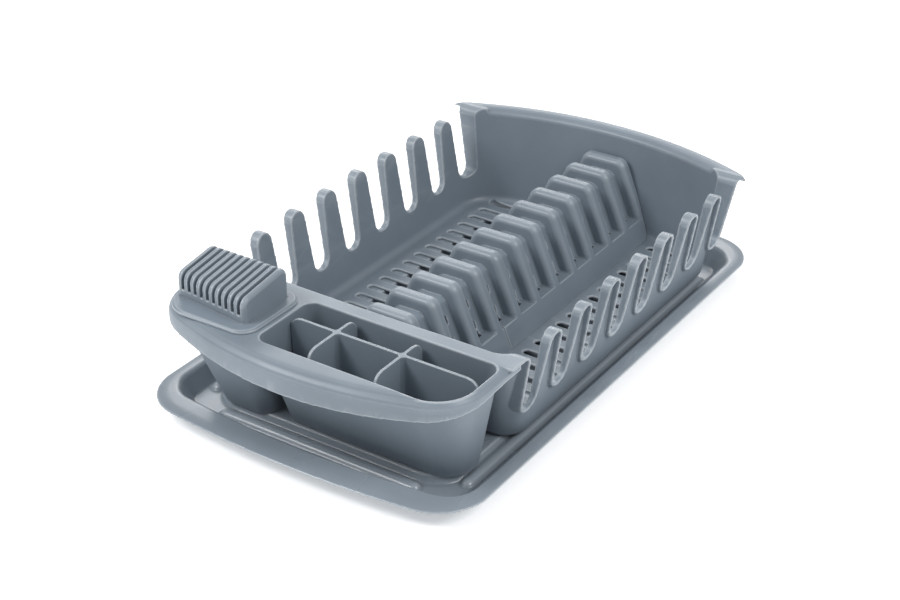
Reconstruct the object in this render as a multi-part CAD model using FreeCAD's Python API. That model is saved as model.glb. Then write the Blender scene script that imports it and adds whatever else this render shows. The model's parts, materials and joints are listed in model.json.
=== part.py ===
import FreeCAD, Part
import math
import os

from FreeCAD import Vector

# Dish drying rack: drip tray, moulded basket, drop-in plate rack,
# cutlery divider and knife block.  Millimetres, +Z up.
# X runs along the rack with the cutlery shelf at -X, Y runs across it.
# The origin is the middle of the tray's underside.

# ---------------------------------------------------------------- general
wall = 2.0                 # moulded wall of every piece
fit_gap = 0.5              # sideways clearance of a piece that lifts out
seat_gap = 0.05            # hairline between faces that only rest together

# ---------------------------------------------------------------- drip tray
tray_length = 446.0
tray_width = 262.0
tray_height = 15.5
tray_bow = 11.0            # how far each short edge bulges
tray_corner = 38.0
tray_rim_end = 20.0        # rim width on the short edges
tray_rim_side = 11.0       # rim width on the long edges
tray_lip = 2.4             # depth of the outer edge below the rim's flat
tray_shoulder = 8.0        # width of the sloping band outside the flat
tray_shoulder_drop = 1.2
tray_slope = 10.0          # how far the inner wall leans in over its height
tray_floor = 2.5           # thickness of the floor
seat_height = 9.0          # top of the raised seat that carries the basket
seat_half_length = 175.0
seat_half_width = 97.0
seat_corner = 24.0
seat_width = 16.0          # the seat is a ring; the floor inside it is low
seat_draft = 3.0
rib_width = 10.0
rib_height = 4.0
rib_side_y = 103.5
rib_side_half = 166.0
rib_end_x = 183.5
rib_end_half = 82.0

# ---------------------------------------------------------------- basket tub
floor_top = seat_height + seat_gap + wall
tub_half_width = 106.9     # inner faces at floor level
tub_far_x = 192.5
tub_near_x = -113.0
side_lean = 0.129          # outward lean, millimetres per millimetre of height
far_lean = 0.09
near_lean = 0.243
end_bow_radius = 280.0
far_corner = 30.0
near_corner = 16.0
floor_fillet = 6.0
rim_top = 90.0
rim_rise = 5.0             # height over which the rim flares out
rim_flare = 10.5
rim_side_flare = 7.0       # extra flare at the two ends of the rim
rim_corner_share = -0.4    # how the corner radius changes with the flare

# ---------------------------------------------------------------- side tines
tine_count = 7             # free-standing tines between the two half tines
tine_start_x = -126.5      # middle of the half tine at the shelf
tine_end_inset = 11.0      # middle of the other half tine, in from the end wall's foot
tine_top = 89.8
tine_crown = 3.6           # the row of tops is a shallow arch
tine_top_radius = 8.0
tine_end_radius = 7.0      # rounding of the rim's two ends
slot_bottom = 34.5
slot_radius = 8.6
flange_foot = 4.8          # depth of the turned-out edge at the slot bottoms
flange_head = 8.2          # and at the tine tops

# ---------------------------------------------------------------- shelf
shelf_top = 85.5
shelf_near_x = -222.0
shelf_half_width = 122.0
shelf_corner = 38.0
shelf_shoulder = 9.0       # width of the rounded-over edge
skirt_drop_end = 19.0      # skirt depth at the middle of the near edge
skirt_drop_side = 8.5      # and where it dies out along the sides

# ---------------------------------------------------------------- plate ridges
ridge_count = 12
ridge_pitch = 26.6
ridge_thickness = 11.0
ridge_end_reach = 3.0      # back face of the last ridge, out from the end wall's foot
ridge_top = 72.0
ridge_top_half = 17.3
ridge_base_half = 43.0
ridge_centre_y = -4.0
ridge_round = 4.2
ridge_shoulder = 8.0
groove_depth = 10.0
ledge_top = 27.0
insert_ridges = 8          # ridges that belong to the lift-out plate rack
hole_width = 5.0
hole_height = 6.0
hole_levels = (33.0, 48.0)

# ---------------------------------------------------------------- floor drains
drain_count = 18
drain_pitch = 15.5
drain_width = 6.0
drain_length = 38.0
drain_middle_y = 73.5
drain_end_inset = 19.5     # last drain, in from the end wall's foot

# ---------------------------------------------------------------- cutlery well
well_near_x = -201.0
well_back_x = -142.0
well_left_y = 34.0
well_right_y = -116.0
well_near_foot = 29.0      # how far each wall comes in by the foot
well_back_foot = -1.0
well_left_foot = 1.0
well_right_foot = 15.0
well_round = 28.0          # big corner at the rim
well_round_foot = 19.0     # and at the foot
well_corner = 9.0
divider_top = 84.5
divider_wall = 2.0
divider_long_x = -163.5
divider_cross_y = (-4.0, -55.5)
divider_reach = 31.0       # cross walls reach this far towards the near edge
divider_round = 8.0

# ---------------------------------------------------------------- knife pocket
pocket_near_x = -197.0
pocket_back_x = -146.0
pocket_left_y = 109.0
pocket_right_y = 46.5
pocket_near_foot = 20.0
pocket_left_foot = 23.0
pocket_corner = 9.0

# ---------------------------------------------------------------- knife block
block_slots = 10
block_pitch = 5.75
block_slot = 2.9
block_cheek = 3.85         # solid outside the first and the last slot
block_near_x = -195.0
block_back_x = -149.0
block_right_y = 46.0
block_skew = 7.0           # the near face follows the bow of the shelf
block_near_top = 105.0
block_back_top = 111.5
block_round = 6.5
block_corner = 3.0
block_slot_floor = 93.5
block_base = 2.6           # thickness of the base flange
block_flange_near = 9.5
block_flange_back = 6.5
block_flange_side = 8.5
block_flange_left = 3.5
block_flange_corner = 13.0
block_flange_round = 22.0  # the flange corner over the shelf's own corner
block_spigot = 5.0

# ---------------------------------------------------------------- derived
basket_foot = floor_top - wall
slot_count = tine_count + 1
tine_end_x = tub_far_x - tine_end_inset
tine_pitch = (tine_end_x - tine_start_x) / slot_count
rim_start = rim_top - rim_rise
ridge_last_x = tub_far_x + ridge_end_reach
ridge_near_x = ridge_last_x - (ridge_count - 1) * ridge_pitch - ridge_thickness
drain_last_x = tub_far_x - drain_end_inset
shut_x = ridge_last_x - insert_ridges * ridge_pitch
insert_near_x = shut_x + fit_gap
block_width = (block_slots - 1) * block_pitch + block_slot + 2 * block_cheek
block_left_y = block_right_y + block_width
flange_foot_y = tub_half_width + side_lean * (slot_bottom - floor_top) + flange_foot
flange_head_y = tub_half_width + side_lean * (tine_top - floor_top) + flange_head
flange_lean = (flange_head_y - flange_foot_y) / (tine_top - slot_bottom)


# ================================================================ helpers
def line(a, b):
    return Part.makeLine(a, b)


def arc(a, middle, b):
    return Part.Arc(a, middle, b).toShape()


def prism(points, direction):
    """Solid from a closed run of straight points pushed along a vector."""
    face = Part.Face(Part.makePolygon(points + [points[0]]))
    return face.extrude(direction)


def box(x0, x1, y0, y1, z0, z1):
    return Part.makeBox(x1 - x0, y1 - y0, z1 - z0, Vector(x0, y0, z0))


def joined(shapes):
    result = shapes[0].fuse(shapes[1:]) if len(shapes) > 1 else shapes[0]
    return result.removeSplitter()


def loft(wires):
    return Part.makeLoft(wires, True, True)


def rounded(shape, radius, wanted):
    edges = [edge for edge in shape.Edges if wanted(edge)]
    return shape.makeFillet(radius, edges)


def mirrored_y(shape):
    return shape.mirror(Vector(0, 0, 0), Vector(0, 1, 0))


def end_corner(x_end, half_width, radius, bow_radius, side):
    """Points of one rounded corner, +Y side, of an end at x_end.

    side is +1 for an end that faces +X and -1 for one that faces -X.
    The three points are on the long side, mid-corner and on the end.
    """
    reach = bow_radius - radius
    rise = half_width - radius
    bow_centre = x_end - side * bow_radius
    centre = Vector(bow_centre + side * math.sqrt(reach ** 2 - rise ** 2), rise, 0)
    out = Vector(centre.x - bow_centre, centre.y, 0).normalize()
    between = Vector(out.x, out.y + 1.0, 0).normalize()
    long_side = centre + Vector(0, radius, 0)
    return long_side, centre + between * radius, centre + out * radius


def plan(near, far, half_width, near_corner_radius, far_corner_radius,
         near_bow, far_bow, z):
    """Closed outline with two straight sides and two bowed ends."""
    far_pts = end_corner(far, half_width, far_corner_radius, far_bow, 1)
    near_pts = end_corner(near, half_width, near_corner_radius, near_bow, -1)
    up = Vector(0, 0, z)
    f_long, f_mid, f_end = [p + up for p in far_pts]
    n_long, n_mid, n_end = [p + up for p in near_pts]

    def flip(p):
        return Vector(p.x, -p.y, p.z)

    return Part.Wire([
        arc(flip(f_end), Vector(far, 0, z), f_end),
        arc(f_end, f_mid, f_long),
        line(f_long, n_long),
        arc(n_long, n_mid, n_end),
        arc(n_end, Vector(near, 0, z), flip(n_end)),
        arc(flip(n_end), flip(n_mid), flip(n_long)),
        line(flip(n_long), flip(f_long)),
        arc(flip(f_long), flip(f_mid), flip(f_end)),
    ])


def rectangle(x0, x1, y0, y1, radii, z):
    """Rounded rectangle; radii run x0y0, x1y0, x1y1, x0y1."""
    corners = ((x0, y0, 180), (x1, y0, 270), (x1, y1, 0), (x0, y1, 90))
    runs = []
    for (x, y, start), r in zip(corners, radii):
        inward_x = r if x == x0 else -r
        inward_y = r if y == y0 else -r
        centre = Vector(x + inward_x, y + inward_y, z)
        turn = [math.radians(start + step) for step in (0, 45, 90)]
        runs.append([centre + Vector(r * math.cos(a), r * math.sin(a), 0) for a in turn])
    edges = []
    for index, run in enumerate(runs):
        edges.append(arc(*run))
        edges.append(line(run[2], runs[(index + 1) % 4][0]))
    return Part.Wire(edges)


# ================================================================ drip tray
def tray_outline(z, inset_end, inset_side):
    """Tray outline, moved in by its own amount on ends and sides."""
    half_width = 0.5 * tray_width - inset_side
    half_length = 0.5 * tray_length - inset_end
    bow_radius = ((0.5 * tray_width) ** 2 + tray_bow ** 2) / (2 * tray_bow)
    corner = max(tray_corner - 0.5 * (inset_end + inset_side), 3 * wall)
    return plan(-half_length, half_length, half_width, corner, corner,
                bow_radius, bow_radius, z)


def tray_rib(length, along_x):
    """Half-round rib with rounded ends, lying on the floor."""
    radius = (0.25 * rib_width ** 2 + rib_height ** 2) / (2 * rib_height)
    sink = radius - rib_height
    half = 0.5 * rib_width
    base = -1.0
    profile = Part.Wire([
        arc(Vector(0, -half, 0), Vector(0, 0, rib_height), Vector(0, half, 0)),
        line(Vector(0, half, 0), Vector(0, half, base)),
        line(Vector(0, half, base), Vector(0, -half, base)),
        line(Vector(0, -half, base), Vector(0, -half, 0)),
    ])
    bar = Part.Face(profile).extrude(Vector(length - rib_width, 0, 0))
    bar.translate(Vector(-0.5 * (length - rib_width), 0, 0))
    ball = Part.makeSphere(radius, Vector(0, 0, -sink))
    pill = Part.makeCylinder(half, rib_height - base, Vector(0, 0, base))
    cap = ball.common(pill)
    caps = []
    for side in (-1, 1):
        end = cap.copy()
        end.translate(Vector(0.5 * side * (length - rib_width), 0, 0))
        caps.append(end)
    rib = joined([bar] + caps)
    if not along_x:
        rib.rotate(Vector(0, 0, 0), Vector(0, 0, 1), 90)
    return rib


def seat_outline(z, grow):
    length = seat_half_length + grow
    width = seat_half_width + grow
    return rectangle(-length, length, -width, width, [seat_corner + grow] * 4, z)


def tray_seat(top, grow, low):
    """Raised ring that carries the basket, grown by grow on every face."""
    draft = seat_draft * (top - low) / (seat_height - tray_floor)
    outside = loft([seat_outline(low, draft + grow), seat_outline(top, grow)])
    inside = loft([seat_outline(low - 1.0, -seat_width - draft - grow),
                   seat_outline(top + 1.0, -seat_width - grow)])
    return outside.cut(inside)


def drip_tray():
    lip_foot = tray_height - tray_lip
    edge_top = tray_height - tray_shoulder_drop
    half_drop = tray_height - 0.3 * tray_shoulder_drop
    plate = loft([
        tray_outline(lip_foot, 0.0, 0.0),
        tray_outline(edge_top - 0.4, 0.0, 0.0),
        tray_outline(edge_top, 0.5, 0.5),
        tray_outline(half_drop, 0.55 * tray_shoulder, 0.55 * tray_shoulder),
        tray_outline(tray_height, tray_shoulder, tray_shoulder),
    ])
    under_rim = loft([
        tray_outline(lip_foot - 1.0, wall, wall),
        tray_outline(tray_height - tray_shoulder_drop - wall, wall, wall),
        tray_outline(tray_height - wall, tray_shoulder, tray_shoulder),
    ])
    end_in = tray_rim_end + tray_slope
    side_in = tray_rim_side + tray_slope
    tub = loft([
        tray_outline(0.0, end_in - wall, side_in - wall),
        tray_outline(tray_height - 0.5 * wall, tray_rim_end - wall, tray_rim_side - wall),
    ])
    hollow = loft([
        tray_outline(tray_floor, end_in, side_in),
        tray_outline(tray_height - 1.5, tray_rim_end + 1.0, tray_rim_side + 1.0),
        tray_outline(tray_height + 0.1, tray_rim_end - 1.4, tray_rim_side - 1.4),
    ])
    shell = plate.cut(under_rim).fuse(tub).cut(hollow)
    ribs = []
    for side in (-1, 1):
        long_rib = tray_rib(2 * rib_side_half, True)
        long_rib.translate(Vector(0, side * rib_side_y, tray_floor))
        short_rib = tray_rib(2 * rib_end_half, False)
        short_rib.translate(Vector(side * rib_end_x, 0, tray_floor))
        ribs += [long_rib, short_rib]
    solid = joined([shell, tray_seat(seat_height, 0.0, 0.5 * tray_floor)] + ribs)
    return solid.cut(tray_seat(seat_height - wall, -wall, -1.0))


# ================================================================ basket
def tub_outline(z, out, corner_share=1.0, widen=0.0):
    """Inner outline of the tub at height z, moved outward by out."""
    up = z - floor_top
    return plan(
        tub_near_x - near_lean * up - out,
        tub_far_x + far_lean * up + out,
        tub_half_width + side_lean * up + out + widen,
        near_corner + out,
        far_corner + corner_share * out,
        40 * end_bow_radius,
        end_bow_radius + out,
        z,
    )


def tub_cavity(z_low, out, fillet):
    body = loft([tub_outline(z_low, out), tub_outline(rim_top + 1.0, out)])
    if fillet > 0:
        body = rounded(body, fillet, lambda e: max(v.Z for v in e.Vertexes) < z_low + 0.01)
    return body


def end_rim():
    """Flared rim over the end wall, ending at the last slot."""
    steps = 5
    outer = [tub_outline(rim_start - 2 * wall, 0.5 * wall)]
    inner = [tub_outline(rim_start - 0.5 * wall, -0.1 * wall)]
    for step in range(1, steps + 1):
        turn = 0.5 * math.pi * step / steps
        spread = 1 - math.cos(turn)
        z = rim_start + rim_rise * math.sin(turn)
        widen = rim_side_flare * spread
        inner.append(tub_outline(z, 0.86 * rim_flare * spread, rim_corner_share, 0.86 * widen))
        outer.append(tub_outline(z - wall, wall + 0.93 * rim_flare * spread, rim_corner_share,
                                 0.93 * widen))
    edge = rim_flare + 0.9
    outer.append(tub_outline(rim_top - 0.6 * wall, edge, rim_corner_share, rim_side_flare))
    outer.append(tub_outline(rim_top, edge - 0.7, rim_corner_share, rim_side_flare))
    inner.append(tub_outline(rim_top + 0.5, 0.9 * rim_flare, rim_corner_share,
                             0.9 * rim_side_flare))
    keep = box(tine_end_x - tine_top_radius - wall, 2 * tub_far_x, -tray_width, tray_width,
               0.0, 2 * rim_top)
    return loft(outer).cut(loft(inner)).common(keep)


def tine_top_z(index):
    middle = 0.5 * slot_count
    return tine_top - tine_crown * ((index - middle) / middle) ** 2


def slope_points(top_centre, top_radius, slot_centre, low_radius):
    """Where the straight flank between a tine top and a slot bottom starts and ends."""
    run = slot_centre - top_centre
    lean = math.acos((top_radius + low_radius) / run.Length)
    side = 1 if run.x > 0 else -1
    angle = math.atan2(run.z, run.x) + side * lean
    normal = Vector(math.cos(angle), 0, math.sin(angle))
    return top_centre + normal * top_radius, slot_centre - normal * low_radius


def tine_wave(inset):
    """Edges of the wavy top line from the shelf to the end wall."""
    top_radius = tine_top_radius - inset
    low_radius = slot_radius + inset
    tops = []
    for index in range(slot_count + 1):
        radius = tine_top_radius
        height = tine_top_z(index)
        x = tine_start_x + index * tine_pitch
        if index == 0:
            height = shelf_top
        if index == slot_count:
            radius = tine_end_radius
            height = rim_top
            x = x - tine_top_radius + tine_end_radius
        tops.append((Vector(x, 0, height - radius), radius - inset))
    slots = [Vector(tine_start_x + (index + 0.5) * tine_pitch, 0, slot_bottom + slot_radius)
             for index in range(slot_count)]
    edges = []
    up = Vector(0, 0, 1)
    enter = tops[0][0] + up * tops[0][1]
    for index, slot in enumerate(slots):
        top, radius = tops[index]
        after, after_radius = tops[index + 1]
        leave, low_in = slope_points(top, radius, slot, low_radius)
        arrive, low_out = slope_points(after, after_radius, slot, low_radius)
        crest = top + up * radius
        if index > 0:
            edges.append(arc(enter, crest, leave))
        else:
            half = (Vector(crest - top) + Vector(leave - top)).normalize()
            edges.append(arc(crest, top + half * radius, leave))
        edges.append(line(leave, low_in))
        edges.append(arc(low_in, slot - up * low_radius, low_out))
        edges.append(line(low_out, arrive))
        enter = arrive
    last, radius = tops[-1]
    crest = last + up * radius
    half = (Vector(crest - last) + Vector(enter - last)).normalize()
    edges.append(arc(enter, last + half * radius, crest))
    return edges, tops[0][0] + up * tops[0][1], crest


def under_wave(inset, near_x, far_x, low_z):
    """Slab, 300 mm along Y, of everything below the wavy line."""
    edges, first, last = tine_wave(inset)
    a = Vector(near_x, 0, first.z)
    b = Vector(near_x, 0, low_z)
    c = Vector(far_x, 0, low_z)
    d = Vector(far_x, 0, last.z)
    outline = Part.Wire(edges + [line(last, d), line(d, c), line(c, b), line(b, a), line(a, first)])
    return Part.Face(outline).extrude(Vector(0, 300, 0))


def above_wave():
    """Slab of everything above the wavy line between the two half tines."""
    edges, first, last = tine_wave(0.0)
    top = 2 * rim_top
    a = Vector(first.x, 0, top)
    b = Vector(last.x, 0, top)
    outline = Part.Wire(edges + [line(last, b), line(b, a), line(a, first)])
    return Part.Face(outline).extrude(Vector(0, 300, 0))


def tine_flange():
    """Turned-out edge that follows the wavy line along the +Y side."""
    low = slot_bottom - 2 * wall
    high = rim_top
    near_x = tine_start_x - near_corner
    far_x = tine_end_x + tine_top_radius

    def skin(z):
        return tub_half_width + side_lean * (z - floor_top) - near_corner

    def edge(z):
        return flange_foot_y + flange_lean * (z - slot_bottom)

    wedge = prism([
        Vector(near_x, skin(low), low),
        Vector(near_x, edge(low), low),
        Vector(near_x, edge(high), high),
        Vector(near_x, skin(high), high),
    ], Vector(tine_end_x - tine_top_radius + wall + tine_end_radius - near_x, 0, 0))
    below = under_wave(0.0, near_x - 1, far_x, low - 1)
    band = below.cut(under_wave(wall, near_x - 2, far_x + 1, low - 2))
    return band.common(wedge)


def shelf_outline(z, out, far_x):
    return plan(shelf_near_x - out, far_x, shelf_half_width + out, shelf_corner + out,
                wall, end_bow_radius + out, 40 * end_bow_radius, z)


def shelf():
    steps = 5
    back = tine_start_x
    open_back = back + 5 * wall
    outer = [shelf_outline(shelf_top - skirt_drop_end, 0.0, back)]
    inner = [shelf_outline(shelf_top - skirt_drop_end - 1.0, -wall, open_back)]
    drop = 0.8 * shelf_shoulder
    for step in range(steps + 1):
        turn = 0.5 * math.pi * step / steps
        out = -shelf_shoulder * (1 - math.cos(turn))
        z = shelf_top - drop + drop * math.sin(turn)
        outer.append(shelf_outline(z, out, back))
        inner.append(shelf_outline(z - wall, out - wall, open_back))
    body = loft(outer).cut(loft(inner))
    low = shelf_top - skirt_drop_end
    side = shelf_top - skirt_drop_side
    knee = Vector(shelf_near_x + 0.24 * (tine_start_x - shelf_near_x), 0, side - 5.0)
    start = Vector(shelf_near_x - 1.0, 0, low)
    stop = Vector(tine_start_x + 10.0, 0, side + 0.5)
    under = Part.Face(Part.Wire([
        arc(start, knee, stop),
        line(stop, Vector(stop.x, 0, low - 30.0)),
        line(Vector(stop.x, 0, low - 30.0), Vector(start.x, 0, low - 30.0)),
        line(Vector(start.x, 0, low - 30.0), start),
    ])).extrude(Vector(0, 2 * tray_width, 0))
    under.translate(Vector(0, -tray_width, 0))
    return body.cut(under)


def well_outline(z, out):
    """Inner outline of the cutlery well at height z, moved outward by out."""
    foot = (shelf_top - z) / (shelf_top - floor_top)
    big = well_round + (well_round_foot - well_round) * foot + out
    return rectangle(
        well_near_x + well_near_foot * foot - out,
        well_back_x - well_back_foot * foot + out,
        well_right_y + well_right_foot * foot - out,
        well_left_y - well_left_foot * foot + out,
        [big, well_corner + out, well_corner + out, well_corner + out],
        z,
    )


def pocket_outline(z, out):
    """Inner outline of the knife pocket at height z, moved outward by out."""
    foot = (shelf_top - z) / (shelf_top - floor_top)
    return rectangle(
        pocket_near_x + pocket_near_foot * foot - out,
        pocket_back_x + out,
        pocket_right_y - out,
        pocket_left_y - pocket_left_foot * foot + out,
        [pocket_corner + out] * 4,
        z,
    )


# ================================================================ plate ridges
def hump_points(x, inset, low):
    """Trapezoid across the rack, moved in by inset, standing on z = low."""
    rise = ridge_top - floor_top
    spread = ridge_base_half - ridge_top_half
    steep = math.hypot(rise, spread) / rise
    high = ridge_top - inset

    def half(z):
        return ridge_base_half - spread * (z - floor_top) / rise - inset * steep

    return [
        Vector(x, ridge_centre_y - half(low), low),
        Vector(x, ridge_centre_y + half(low), low),
        Vector(x, ridge_centre_y + half(high), high),
        Vector(x, ridge_centre_y - half(high), high),
    ]


def hump_bar(x0, x1, inset, low, shoulder):
    """Length of the trapezoid with rounded shoulders."""
    bar = prism(hump_points(x0, inset, low), Vector(x1 - x0, 0, 0))
    high = ridge_top - inset

    def on_shoulder(edge):
        return len(edge.Vertexes) == 2 and all(abs(v.Z - high) < 1e-6 for v in edge.Vertexes) \
            and abs(edge.Vertexes[0].X - edge.Vertexes[1].X) > 1e-6

    return rounded(bar, shoulder, on_shoulder)


def ridge(x_back, low):
    """One plate ridge with rounded edges."""
    bar = hump_bar(x_back - ridge_thickness, x_back, 0.0, low, ridge_shoulder)

    def on_face_rim(edge):
        xs = [v.X for v in edge.Vertexes]
        return max(xs) - min(xs) < 1e-6 and max(v.Z for v in edge.Vertexes) > low + 1e-3

    return rounded(bar, ridge_round, on_face_rim)


def ridge_backs(first, last):
    return [ridge_last_x - index * ridge_pitch for index in range(first, last)]


def hump(first, last, near_x, far_x, low):
    """Ridges first..last-1 counted from the end wall, on their common core."""
    parts = [hump_bar(near_x, far_x, groove_depth, low, ridge_shoulder - 2.0)]
    ledge = prism(hump_points(near_x, 0.0, low), Vector(far_x - near_x, 0, 0))
    parts.append(ledge.common(box(near_x, far_x, -tray_width, tray_width, low, ledge_top)))
    parts += [ridge(back, low) for back in ridge_backs(first, last)]
    return joined(parts)


def hump_hollow(first, last, near_x, far_x, low):
    """Space inside the hump that keeps every wall even."""
    ends = (near_x + wall, far_x - wall)
    parts = [hump_bar(ends[0], ends[1], groove_depth + wall, low, ridge_shoulder - 4.0)]
    ledge = prism(hump_points(ends[0], wall, low), Vector(ends[1] - ends[0], 0, 0))
    parts.append(ledge.common(box(ends[0], ends[1], -tray_width, tray_width, low, ledge_top - wall)))
    for back in ridge_backs(first, last):
        parts.append(hump_bar(max(back - ridge_thickness + wall, ends[0]),
                              min(back - wall, ends[1]), wall, low, ridge_shoulder - wall))
    return joined(parts)


def groove_holes(first, last):
    """Drain holes through the groove walls, between ridges first and last."""
    holes = []
    for back in ridge_backs(first, last):
        middle = back + 0.5 * (ridge_pitch - ridge_thickness)
        for level in hole_levels:
            holes.append(box(middle - 0.5 * hole_width, middle + 0.5 * hole_width,
                             ridge_centre_y - ridge_base_half, ridge_centre_y + ridge_base_half,
                             level - 0.5 * hole_height, level + 0.5 * hole_height))
        for side in (-1, 1):
            reach = 0.5 * groove_depth
            spot = ridge_centre_y + side * (ridge_base_half - 2.0 * groove_depth)
            holes.append(box(middle - 0.5 * hole_width, middle + 0.5 * hole_width,
                             spot - reach, spot + reach, ledge_top - 2 * wall, ledge_top + wall))
    return Part.makeCompound(holes)


def drain_slot(x, y):
    radius = 0.5 * drain_width
    reach = 0.5 * drain_length - radius
    bar = box(x - radius, x + radius, y - reach, y + reach, 0.0, 2 * floor_top)
    ends = [Part.makeCylinder(radius, 2 * floor_top, Vector(x, y + tip * reach, 0))
            for tip in (-1, 1)]
    return bar.fuse(ends).removeSplitter()


def floor_drains():
    """Rows of slots beside the ridges, and one more row under the lift-out rack."""
    slots = []
    for index in range(drain_count):
        x = drain_last_x - index * drain_pitch
        slots += [drain_slot(x, -drain_middle_y), drain_slot(x, drain_middle_y)]
        if x > insert_near_x + drain_pitch:
            slots.append(drain_slot(x, ridge_centre_y))
    return Part.makeCompound(slots)


def basket_moulding():
    """The whole basket, one moulding."""
    outer = loft([tub_outline(basket_foot, wall), tub_outline(rim_top, wall)])
    outer = rounded(outer, floor_fillet, lambda e: max(v.Z for v in e.Vertexes) < basket_foot + 0.01)
    near_top = box(2 * shelf_near_x, tine_start_x, -tray_width, tray_width, shelf_top, 2 * rim_top)
    rim_x = tine_end_x - tine_top_radius + tine_end_radius
    far_top = box(rim_x, 2 * tub_far_x, -tray_width, tray_width, rim_start, 2 * rim_top)
    tub = outer.cut([near_top, far_top])
    moulded = hump(insert_ridges, ridge_count, ridge_near_x, shut_x, basket_foot)
    flange = tine_flange()
    shelf_solid = shelf()
    well = loft([well_outline(basket_foot, wall), well_outline(shelf_top - 0.5 * wall, wall)])
    pocket = loft([pocket_outline(basket_foot, wall), pocket_outline(shelf_top - 0.5 * wall, wall)])
    body = joined([tub, shelf_solid, well, pocket, flange, mirrored_y(flange), end_rim()])
    body = body.cut(tub_cavity(floor_top, 0.0, floor_fillet))
    voids = above_wave()
    body = body.cut([voids, mirrored_y(voids)])
    body = body.cut([
        loft([well_outline(floor_top, 0.0), well_outline(shelf_top + 1.0, 0.0)]),
        loft([pocket_outline(floor_top, 0.0), pocket_outline(shelf_top + 1.0, 0.0)]),
    ])
    body = body.fuse(moulded)
    body = body.cut(hump_hollow(insert_ridges, ridge_count, ridge_near_x, shut_x,
                                basket_foot - 1.0))
    body = body.cut([floor_drains(), groove_holes(insert_ridges + 1, ridge_count)])
    return body.removeSplitter()


def hump_region(near_x, far_x, low):
    half = ridge_base_half + 1.0
    return box(near_x, far_x, ridge_centre_y - half, ridge_centre_y + half, low, 2 * rim_top)


def ridge_region(near_x, far_x):
    """Everything of a hump outside its core and above the ledge."""
    core = hump_bar(near_x - 1.0, far_x + 1.0, groove_depth, basket_foot, ridge_shoulder - 2.0)
    return hump_region(near_x, far_x, ledge_top).cut(core)


def basket_sections():
    """The moulding cut along planes into simple sections that meet face to face."""
    rest = basket_moulding()
    near_cut = tine_start_x + 0.5 * tine_pitch
    far_cut = tine_start_x + (slot_count - 0.5) * tine_pitch
    near_end = well_back_x + 1.5 * wall
    far_end = tray_length
    tine_foot = slot_bottom + slot_radius
    shelf_foot = shelf_top - skirt_drop_side
    reach = tray_width
    high = 2 * rim_top
    grown = wall + 0.5
    regions = (
        ("rack_ridges", ridge_region(ridge_near_x - 1.0, shut_x)),
        ("rack_ridge_core", hump_region(ridge_near_x - 1.0, shut_x, 0.0)),
        ("rack_cutlery_well", loft([well_outline(floor_top - 2 * wall, grown),
                                    well_outline(shelf_foot, grown)])),
        ("rack_knife_pocket", loft([pocket_outline(floor_top - 2 * wall, grown),
                                    pocket_outline(shelf_foot, grown)])),
        ("rack_floor", box(near_end, far_end, -reach, reach, 0.0, floor_top)),
        ("rack_near_wall", box(near_end, near_cut, -reach, reach, floor_top, shelf_foot)),
        ("rack_side_left", box(near_cut, far_cut, 0.0, reach, floor_top, tine_foot)),
        ("rack_side_right", box(near_cut, far_cut, -reach, 0.0, floor_top, tine_foot)),
        ("rack_tines", box(near_cut, far_cut, -reach, reach, tine_foot, high)),
        ("rack_end_wall", box(far_cut, far_end, -reach, reach, floor_top, high)),
    )
    sections = {}
    for name, region in regions:
        sections[name] = rest.common(region)
        rest = rest.cut(region)
    sections["rack_shelf"] = rest
    return sections


def plate_rack_insert():
    """Lift-out block of ridges that fits against the end wall."""
    far_x = 1.2 * ridge_last_x
    low = floor_top + seat_gap
    body = hump(0, insert_ridges, insert_near_x, far_x, low)
    body = body.common(tub_cavity(low, -fit_gap, floor_fillet))
    inside = hump_hollow(0, insert_ridges, insert_near_x, far_x, low - 1.0)
    body = body.cut(inside.common(tub_cavity(low - 2.0, -fit_gap - wall, 0.0)))
    body = body.cut(groove_holes(1, insert_ridges + 1)).removeSplitter()
    ridges = ridge_region(insert_near_x - 1.0, far_x)
    return {"plate_rack_ridges": body.common(ridges), "plate_rack_core": body.cut(ridges)}


# ================================================================ cutlery divider
def divider_blade(start, stop, across, along_x):
    """Upright wall with its two upper corners rounded."""
    low = floor_top + seat_gap
    length = stop - start
    blade = box(0, length, -0.5 * divider_wall, 0.5 * divider_wall, low, divider_top)

    def on_upper_corner(edge):
        tops = all(abs(v.Z - divider_top) < 1e-6 for v in edge.Vertexes)
        return tops and abs(edge.Vertexes[0].X - edge.Vertexes[1].X) < 1e-6

    blade = rounded(blade, divider_round, on_upper_corner)
    if along_x:
        blade.translate(Vector(start, across, 0))
    else:
        blade.rotate(Vector(0, 0, 0), Vector(0, 0, 1), 90)
        blade.translate(Vector(across, start, 0))
    return blade


def cutlery_divider():
    gap = 2 * fit_gap
    long_wall = divider_blade(well_right_y + gap + 2.0, well_left_y - gap, divider_long_x, False)
    crosses = [divider_blade(divider_long_x - divider_reach, well_back_x - gap, y, True)
               for y in divider_cross_y]
    solid = joined([long_wall] + crosses)
    flank = 0.5 * divider_wall

    def in_crossing(edge):
        low = min(v.Z for v in edge.Vertexes)
        high = max(v.Z for v in edge.Vertexes)
        x = edge.Vertexes[0].X
        y = edge.Vertexes[0].Y
        at_long = abs(abs(x - divider_long_x) - flank) < 1e-6
        at_cross = any(abs(abs(y - cross) - flank) < 1e-6 for cross in divider_cross_y)
        return high - low > 10 and at_long and at_cross

    solid = rounded(solid, 1.5 * divider_wall, in_crossing)
    room = loft([well_outline(floor_top, -gap), well_outline(shelf_top, -gap)])
    return solid.common(room)


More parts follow.
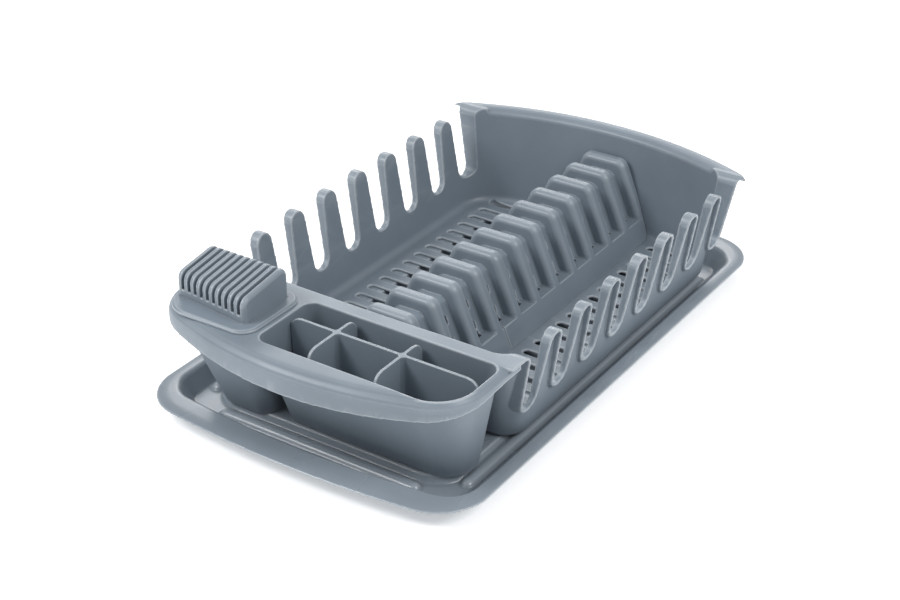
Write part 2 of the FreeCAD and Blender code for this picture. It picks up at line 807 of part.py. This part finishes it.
# ================================================================ knife block
def block_flange(low):
    """Base plate of the block, with a softened top edge."""
    def outline(inset, z):
        corner = block_flange_corner - inset
        return rectangle(
            block_near_x - block_flange_near + inset,
            block_back_x + block_flange_back - inset,
            block_right_y - block_flange_side + inset,
            block_left_y + block_flange_left - inset,
            [corner, corner, corner, block_flange_round - inset],
            z,
        )

    return loft([outline(0.0, low), outline(0.0, low + 0.5 * block_base),
                 outline(1.5, low + block_base)])


def block_body(low):
    """Sloping block whose near face is skewed to the shelf's bow."""
    near, back = block_near_x, block_back_x
    body = prism([
        Vector(near, block_right_y, low),
        Vector(back, block_right_y, low),
        Vector(back, block_right_y, block_back_top),
        Vector(near, block_right_y, block_near_top),
    ], Vector(0, block_width, 0))
    wedge = prism([
        Vector(near, block_right_y, low - 1.0),
        Vector(near - 1.0, block_right_y, low - 1.0),
        Vector(near - 1.0, block_left_y + 1.0, low - 1.0),
        Vector(near + block_skew, block_left_y + 1.0, low - 1.0),
    ], Vector(0, 0, 2 * block_back_top))
    body = body.cut(wedge)
    tall = 0.4 * (block_near_top - low)

    def on_top_edge(edge):
        ys = [v.Y for v in edge.Vertexes]
        return max(ys) - min(ys) > 1.0 and min(v.Z for v in edge.Vertexes) > low + block_base

    def on_upright(edge):
        ends = edge.Vertexes
        upright = math.hypot(ends[0].X - ends[-1].X, ends[0].Y - ends[-1].Y) < 1e-6
        return upright and abs(ends[0].Z - ends[-1].Z) > tall

    return rounded(rounded(body, block_round, on_top_edge), block_corner, on_upright)


def knife_block():
    low = shelf_top + seat_gap
    near, back = block_near_x, block_back_x
    spigot = loft([pocket_outline(low - block_spigot, -fit_gap),
                   pocket_outline(low + 0.5, -fit_gap)])
    spigot = spigot.cut(loft([pocket_outline(low - block_spigot - 1, -fit_gap - wall),
                              pocket_outline(low + 0.5, -fit_gap - wall)]))
    solid = joined([block_body(low), block_flange(low), spigot])
    cuts = []
    first = block_right_y + block_cheek + 0.5 * block_slot
    for index in range(block_slots):
        y0 = first + index * block_pitch - 0.5 * block_slot
        y1 = y0 + block_slot
        cuts.append(box(near - 5, back + 5, y0, y1, block_slot_floor, 2 * block_back_top))
        cuts.append(box(near + block_skew + 2 * wall, back - 2 * wall, y0, y1,
                        low - 1.0, 2 * block_back_top))
    return solid.cut(Part.makeCompound(cuts))


# ================================================================ export
nodes = {
    "drip_tray": drip_tray(),
    "cutlery_divider": cutlery_divider(),
    "knife_block": knife_block(),
}
nodes.update(basket_sections())
nodes.update(plate_rack_insert())
os.makedirs("parts", exist_ok=True)
for name, shape in nodes.items():
    shape.exportStep(os.path.join("parts", name + ".step"))
    print(name, "solids", len(shape.Solids), "valid", shape.isValid(), "volume", round(shape.Volume))
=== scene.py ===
import json
import math

import bmesh
import bpy
import numpy as np
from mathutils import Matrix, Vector

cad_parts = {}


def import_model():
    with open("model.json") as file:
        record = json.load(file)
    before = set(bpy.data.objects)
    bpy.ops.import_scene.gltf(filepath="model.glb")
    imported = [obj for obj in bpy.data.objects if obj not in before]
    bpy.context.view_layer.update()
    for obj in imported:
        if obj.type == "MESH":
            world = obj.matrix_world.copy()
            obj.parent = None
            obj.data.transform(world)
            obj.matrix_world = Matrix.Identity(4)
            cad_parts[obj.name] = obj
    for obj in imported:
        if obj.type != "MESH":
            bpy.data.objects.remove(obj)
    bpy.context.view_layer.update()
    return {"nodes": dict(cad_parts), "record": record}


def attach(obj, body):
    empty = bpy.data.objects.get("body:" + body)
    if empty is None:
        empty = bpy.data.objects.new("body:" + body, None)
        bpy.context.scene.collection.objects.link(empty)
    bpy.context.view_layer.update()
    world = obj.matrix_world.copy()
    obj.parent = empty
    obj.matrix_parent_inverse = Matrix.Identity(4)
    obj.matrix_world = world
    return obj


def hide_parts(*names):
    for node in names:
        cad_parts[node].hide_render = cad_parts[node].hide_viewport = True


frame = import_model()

CAMERA_AZIMUTH = math.radians(-56.36)
CAMERA_ELEVATION = math.radians(29.70)
CAMERA_DISTANCE = 1.2312
CAMERA_TARGET = Vector((-0.0420, -0.0106, 0.0522))
CAMERA_LENS_MM = 70.37
SENSOR_MM = 36.0

WELD = 2e-6              # CAD faces meet at doubled vertices
OVERLAP = 1.5e-5         # growth of a section, so that neighbours fuse
GREY = (0.178, 0.216, 0.256)
TRAY_GREY = (0.222, 0.260, 0.300)
# pale grey for the painted edge highlight and for the specks
PALE_GREY = (0.38, 0.415, 0.45)

# The studio is a little brighter on the right and above than on the other sides.
SKY_TOWARDS = (0.30, -0.40, 0.30)
SKY_DIM = 0.30
SKY_BRIGHT = 0.75
FLOOR_GLOW = 0.30        # the paper is lit from behind, as on a light table


# ---------------------------------------------------------------- materials
def noise(tree, place, scale, detail, stretch=None):
    """Noise over the object, optionally drawn out along one axis."""
    source = place.outputs["Object"]
    if stretch:
        mapping = tree.nodes.new("ShaderNodeMapping")
        mapping.inputs["Scale"].default_value = stretch
        tree.links.new(source, mapping.inputs["Vector"])
        source = mapping.outputs["Vector"]
    texture = tree.nodes.new("ShaderNodeTexNoise")
    texture.inputs["Scale"].default_value = scale
    texture.inputs["Detail"].default_value = detail
    tree.links.new(source, texture.inputs["Vector"])
    return texture.outputs["Fac"]


def remap(tree, value, low, high, to_low, to_high):
    node = tree.nodes.new("ShaderNodeMapRange")
    for socket, number in zip(("From Min", "From Max", "To Min", "To Max"),
                              (low, high, to_low, to_high)):
        node.inputs[socket].default_value = number
    tree.links.new(value, node.inputs["Value"])
    return node.outputs["Result"]


def maths(tree, operation, a, b):
    node = tree.nodes.new("ShaderNodeMath")
    node.operation = operation
    for socket, value in zip(node.inputs, (a, b)):
        if isinstance(value, float):
            socket.default_value = value
        else:
            tree.links.new(value, socket)
    return node.outputs["Value"]


def blend(tree, factor, a, b):
    """Colour mix of two colours or sockets."""
    node = tree.nodes.new("ShaderNodeMix")
    node.data_type = "RGBA"
    tree.links.new(factor, node.inputs["Factor"])
    for socket, value in zip((node.inputs[6], node.inputs[7]), (a, b)):
        if isinstance(value, tuple):
            socket.default_value = (*value, 1.0)
        else:
            tree.links.new(value, socket)
    return node.outputs[2]


def bump(tree, height, strength, distance, under=None):
    node = tree.nodes.new("ShaderNodeBump")
    node.inputs["Strength"].default_value = strength
    node.inputs["Distance"].default_value = distance
    tree.links.new(height, node.inputs["Height"])
    if under is not None:
        tree.links.new(under, node.inputs["Normal"])
    return node.outputs["Normal"]


def moulded_plastic(name, colour, pale, smooth, rough):
    """Satin polypropylene: faint flow marks, spark-eroded grain, painted highlights on convex edges,
    painted shade in creases.
    """
    material = bpy.data.materials.new(name)
    material.use_nodes = True
    tree = material.node_tree
    shader = tree.nodes["Principled BSDF"]
    place = tree.nodes.new("ShaderNodeTexCoord")
    edge = tree.nodes.new("ShaderNodeAttribute")
    edge.attribute_name = "edge"
    # Masks from the curvature attribute: convex edges for a painted highlight, creases for painted
    # shade.
    edge_highlight_mask = remap(tree, edge.outputs["Fac"], 0.56, 0.86, 0.0, 1.0)
    crease_shade_mask = remap(tree, edge.outputs["Fac"], 0.44, 0.18, 0.0, 1.0)

    drift = noise(tree, place, 16.0, 3.0)
    flow = noise(tree, place, 9.0, 1.0, (1.0, 2.5, 1.5))
    speck = noise(tree, place, 1400.0, 2.0)
    darker = tuple(0.93 * part for part in colour)
    lighter = tuple(1.06 * part for part in colour)
    tone = blend(tree, remap(tree, drift, 0.35, 0.65, 0.0, 1.0), darker, lighter)
    # Painted shade: creases darkened towards half the base colour.
    crease_shade_colour = tuple(0.5 * part for part in colour)
    tone = blend(tree, maths(tree, "MULTIPLY", crease_shade_mask, 0.5), tone, crease_shade_colour)
    # Painted highlight: convex edges lightened towards pale grey, broken up by the flow noise.
    painted_edge_highlight = maths(tree, "MULTIPLY", edge_highlight_mask, remap(tree, flow, 0.3, 0.7, 0.5, 0.9))
    tone = blend(tree, painted_edge_highlight, tone, pale)
    tone = blend(tree, remap(tree, speck, 0.62, 0.78, 0.0, 0.16), tone, pale)
    tree.links.new(tone, shader.inputs["Base Color"])

    sheen = remap(tree, flow, 0.3, 0.7, smooth, rough)
    sheen = maths(tree, "SUBTRACT", sheen, maths(tree, "MULTIPLY", edge_highlight_mask, 0.06))
    tree.links.new(sheen, shader.inputs["Roughness"])
    shader.inputs["IOR"].default_value = 1.49

    ripple = bump(tree, noise(tree, place, 45.0, 2.0), 0.25, 0.0006)
    grain = bump(tree, noise(tree, place, 1100.0, 2.0), 0.22, 0.00012, ripple)
    tree.links.new(grain, shader.inputs["Normal"])
    return material


# ---------------------------------------------------------------- mouldings
def linked(name, mesh):
    obj = bpy.data.objects.new(name, mesh)
    bpy.context.collection.objects.link(obj)
    return obj


def section(node, grow):
    """Welded copy of a CAD node, grown by a hair so that sections fuse."""
    shape = bmesh.new()
    shape.from_mesh(frame["nodes"][node].data)
    bmesh.ops.remove_doubles(shape, verts=shape.verts, dist=WELD)
    bmesh.ops.recalc_face_normals(shape, faces=shape.faces)
    shape.normal_update()
    for vertex in shape.verts:
        vertex.co += vertex.normal * grow
    mesh = bpy.data.meshes.new(node + "_section")
    shape.to_mesh(mesh)
    shape.free()
    mesh.materials.clear()
    return linked(node + "_section", mesh)


def baked_modifiers(obj):
    """Replace an object's mesh by its evaluated one."""
    graph = bpy.context.evaluated_depsgraph_get()
    mesh = bpy.data.meshes.new_from_object(obj.evaluated_get(graph))
    obj.modifiers.clear()
    old = obj.data
    obj.data = mesh
    bpy.data.meshes.remove(old)


def mark_edges(mesh, step, passes, gain):
    """Attribute "edge": 0.5 on flats, towards 1 on convex edges, 0 in creases."""
    count = len(mesh.vertices)
    points = np.empty(3 * count, np.float32)
    normals = np.empty(3 * count, np.float32)
    ends = np.empty(2 * len(mesh.edges), np.int32)
    mesh.vertices.foreach_get("co", points)
    mesh.vertices.foreach_get("normal", normals)
    mesh.edges.foreach_get("vertices", ends)
    points = points.reshape(-1, 3)
    normals = normals.reshape(-1, 3)
    first, second = ends[0::2], ends[1::2]
    degree = np.maximum(np.bincount(ends, minlength=count), 1)

    def around(values):
        return (np.bincount(first, values[second], count)
                + np.bincount(second, values[first], count)) / degree

    middle = np.stack([around(points[:, axis]) for axis in range(3)], axis=1)
    bend = ((points - middle) * normals).sum(axis=1) / step
    for _ in range(passes):
        bend = 0.5 * (bend + around(bend))
    values = np.clip(0.5 + gain * bend, 0.0, 1.0).astype(np.float32)
    mesh.attributes.new("edge", "FLOAT", "POINT").data.foreach_set("value", values)


def moulding(name, body, nodes, material, step, faces, passes=4):
    """One continuous moulded skin with soft edges over its CAD sections."""
    parts = [section(node, OVERLAP if len(nodes) > 1 else 0.0) for node in nodes]
    whole = parts[0]
    for part in parts[1:]:
        fuse = whole.modifiers.new("fuse", "BOOLEAN")
        fuse.operation = "UNION"
        fuse.solver = "MANIFOLD"
        fuse.object = part
    skin = whole.modifiers.new("skin", "REMESH")
    skin.mode = "VOXEL"
    skin.voxel_size = step
    soften = whole.modifiers.new("soften", "SMOOTH")
    soften.factor = 0.5
    soften.iterations = passes
    baked_modifiers(whole)
    for part in parts[1:]:
        bpy.data.objects.remove(part)
    mark_edges(whole.data, step, 2, 5.0)
    thin = whole.modifiers.new("thin", "DECIMATE")
    thin.ratio = min(1.0, faces / (2.0 * len(whole.data.polygons)))
    baked_modifiers(whole)
    whole.name = name
    whole.data.name = name
    whole.data.shade_smooth()
    whole.data.materials.clear()
    whole.data.materials.append(material)
    whole.data.polygons.foreach_set("material_index", [0] * len(whole.data.polygons))
    whole.modifiers.new("even normals", "WEIGHTED_NORMAL").weight = 50
    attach(whole, body)
    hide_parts(*nodes)
    return whole


rack_plastic = moulded_plastic("rack_satin", GREY, PALE_GREY, 0.37, 0.44)
tray_plastic = moulded_plastic("tray_satin", TRAY_GREY, PALE_GREY, 0.25, 0.30)

groups = frame["record"]["behaviour"]["bodies"]
moulding("tray_moulding", "tray", groups["tray"], tray_plastic, 0.0008, 160000,
         passes=10)
moulding("basket_moulding", "basket", groups["basket"], rack_plastic, 0.0007, 195000)
moulding("plate_rack_moulding", "plate_rack", groups["plate_rack"], rack_plastic,
         0.0006, 120000)
moulding("divider_moulding", "divider", groups["divider"], rack_plastic,
         0.0005, 40000)
moulding("block_moulding", "block", groups["block"], rack_plastic, 0.0004, 120000)


# ---------------------------------------------------------------- camera
def look(obj, target):
    obj.rotation_euler = (target - obj.location).to_track_quat("-Z", "Y").to_euler()


def camera():
    data = bpy.data.cameras.new("camera")
    data.lens = CAMERA_LENS_MM
    data.sensor_width = SENSOR_MM
    data.clip_end = 20.0
    obj = linked("camera", data)
    flat = math.cos(CAMERA_ELEVATION)
    away = Vector((math.sin(CAMERA_AZIMUTH) * flat,
                   -math.cos(CAMERA_AZIMUTH) * flat,
                   math.sin(CAMERA_ELEVATION)))
    obj.location = CAMERA_TARGET + away * CAMERA_DISTANCE
    look(obj, CAMERA_TARGET)
    bpy.context.scene.camera = obj


# ---------------------------------------------------------------- stage
def area_light(name, place, target, size, power):
    data = bpy.data.lights.new(name, "AREA")
    data.shape = "RECTANGLE"
    data.size, data.size_y = size
    data.energy = power
    obj = linked(name, data)
    obj.location = place
    look(obj, Vector(target))


def floor():
    reach = 12.0
    mesh = bpy.data.meshes.new("floor")
    mesh.from_pydata([(-reach, -reach, 0), (reach, -reach, 0), (reach, reach, 0), (-reach, reach, 0)],
                     [], [(0, 1, 2, 3)])
    obj = linked("floor", mesh)
    material = bpy.data.materials.new("floor_paper")
    material.use_nodes = True
    shader = material.node_tree.nodes["Principled BSDF"]
    shader.inputs["Base Color"].default_value = (0.93, 0.93, 0.93, 1.0)
    shader.inputs["Roughness"].default_value = 0.9
    shader.inputs["Specular IOR Level"].default_value = 0.1
    shader.inputs["Emission Color"].default_value = (1.0, 1.0, 1.0, 1.0)
    shader.inputs["Emission Strength"].default_value = FLOOR_GLOW
    mesh.materials.append(material)


def world():
    sky = bpy.data.worlds.new("studio")
    sky.use_nodes = True
    tree = sky.node_tree
    place = tree.nodes.new("ShaderNodeTexCoord")
    along = tree.nodes.new("ShaderNodeVectorMath")
    along.operation = "DOT_PRODUCT"
    along.inputs[1].default_value = SKY_TOWARDS
    tree.links.new(place.outputs["Generated"], along.inputs[0])
    background = tree.nodes["Background"]
    background.inputs["Color"].default_value = (1.0, 1.0, 1.0, 1.0)
    tree.links.new(remap(tree, along.outputs["Value"], -1.0, 1.0, SKY_DIM, SKY_BRIGHT),
                   background.inputs["Strength"])
    bpy.context.scene.world = sky


camera()
floor()
world()
area_light("left", (-0.95, 0.75, 1.25), (0, 0, 0.05), (0.6, 0.6), 16.0)
area_light("right", (-0.1, -1.3, 1.3), (0, 0, 0.05), (0.7, 0.7), 14.0)
area_light("back", (1.29, 0.86, 0.9), (0, 0, 0.05), (1.2, 0.6), 10.0)
bpy.context.scene.view_settings.view_transform = "Standard"
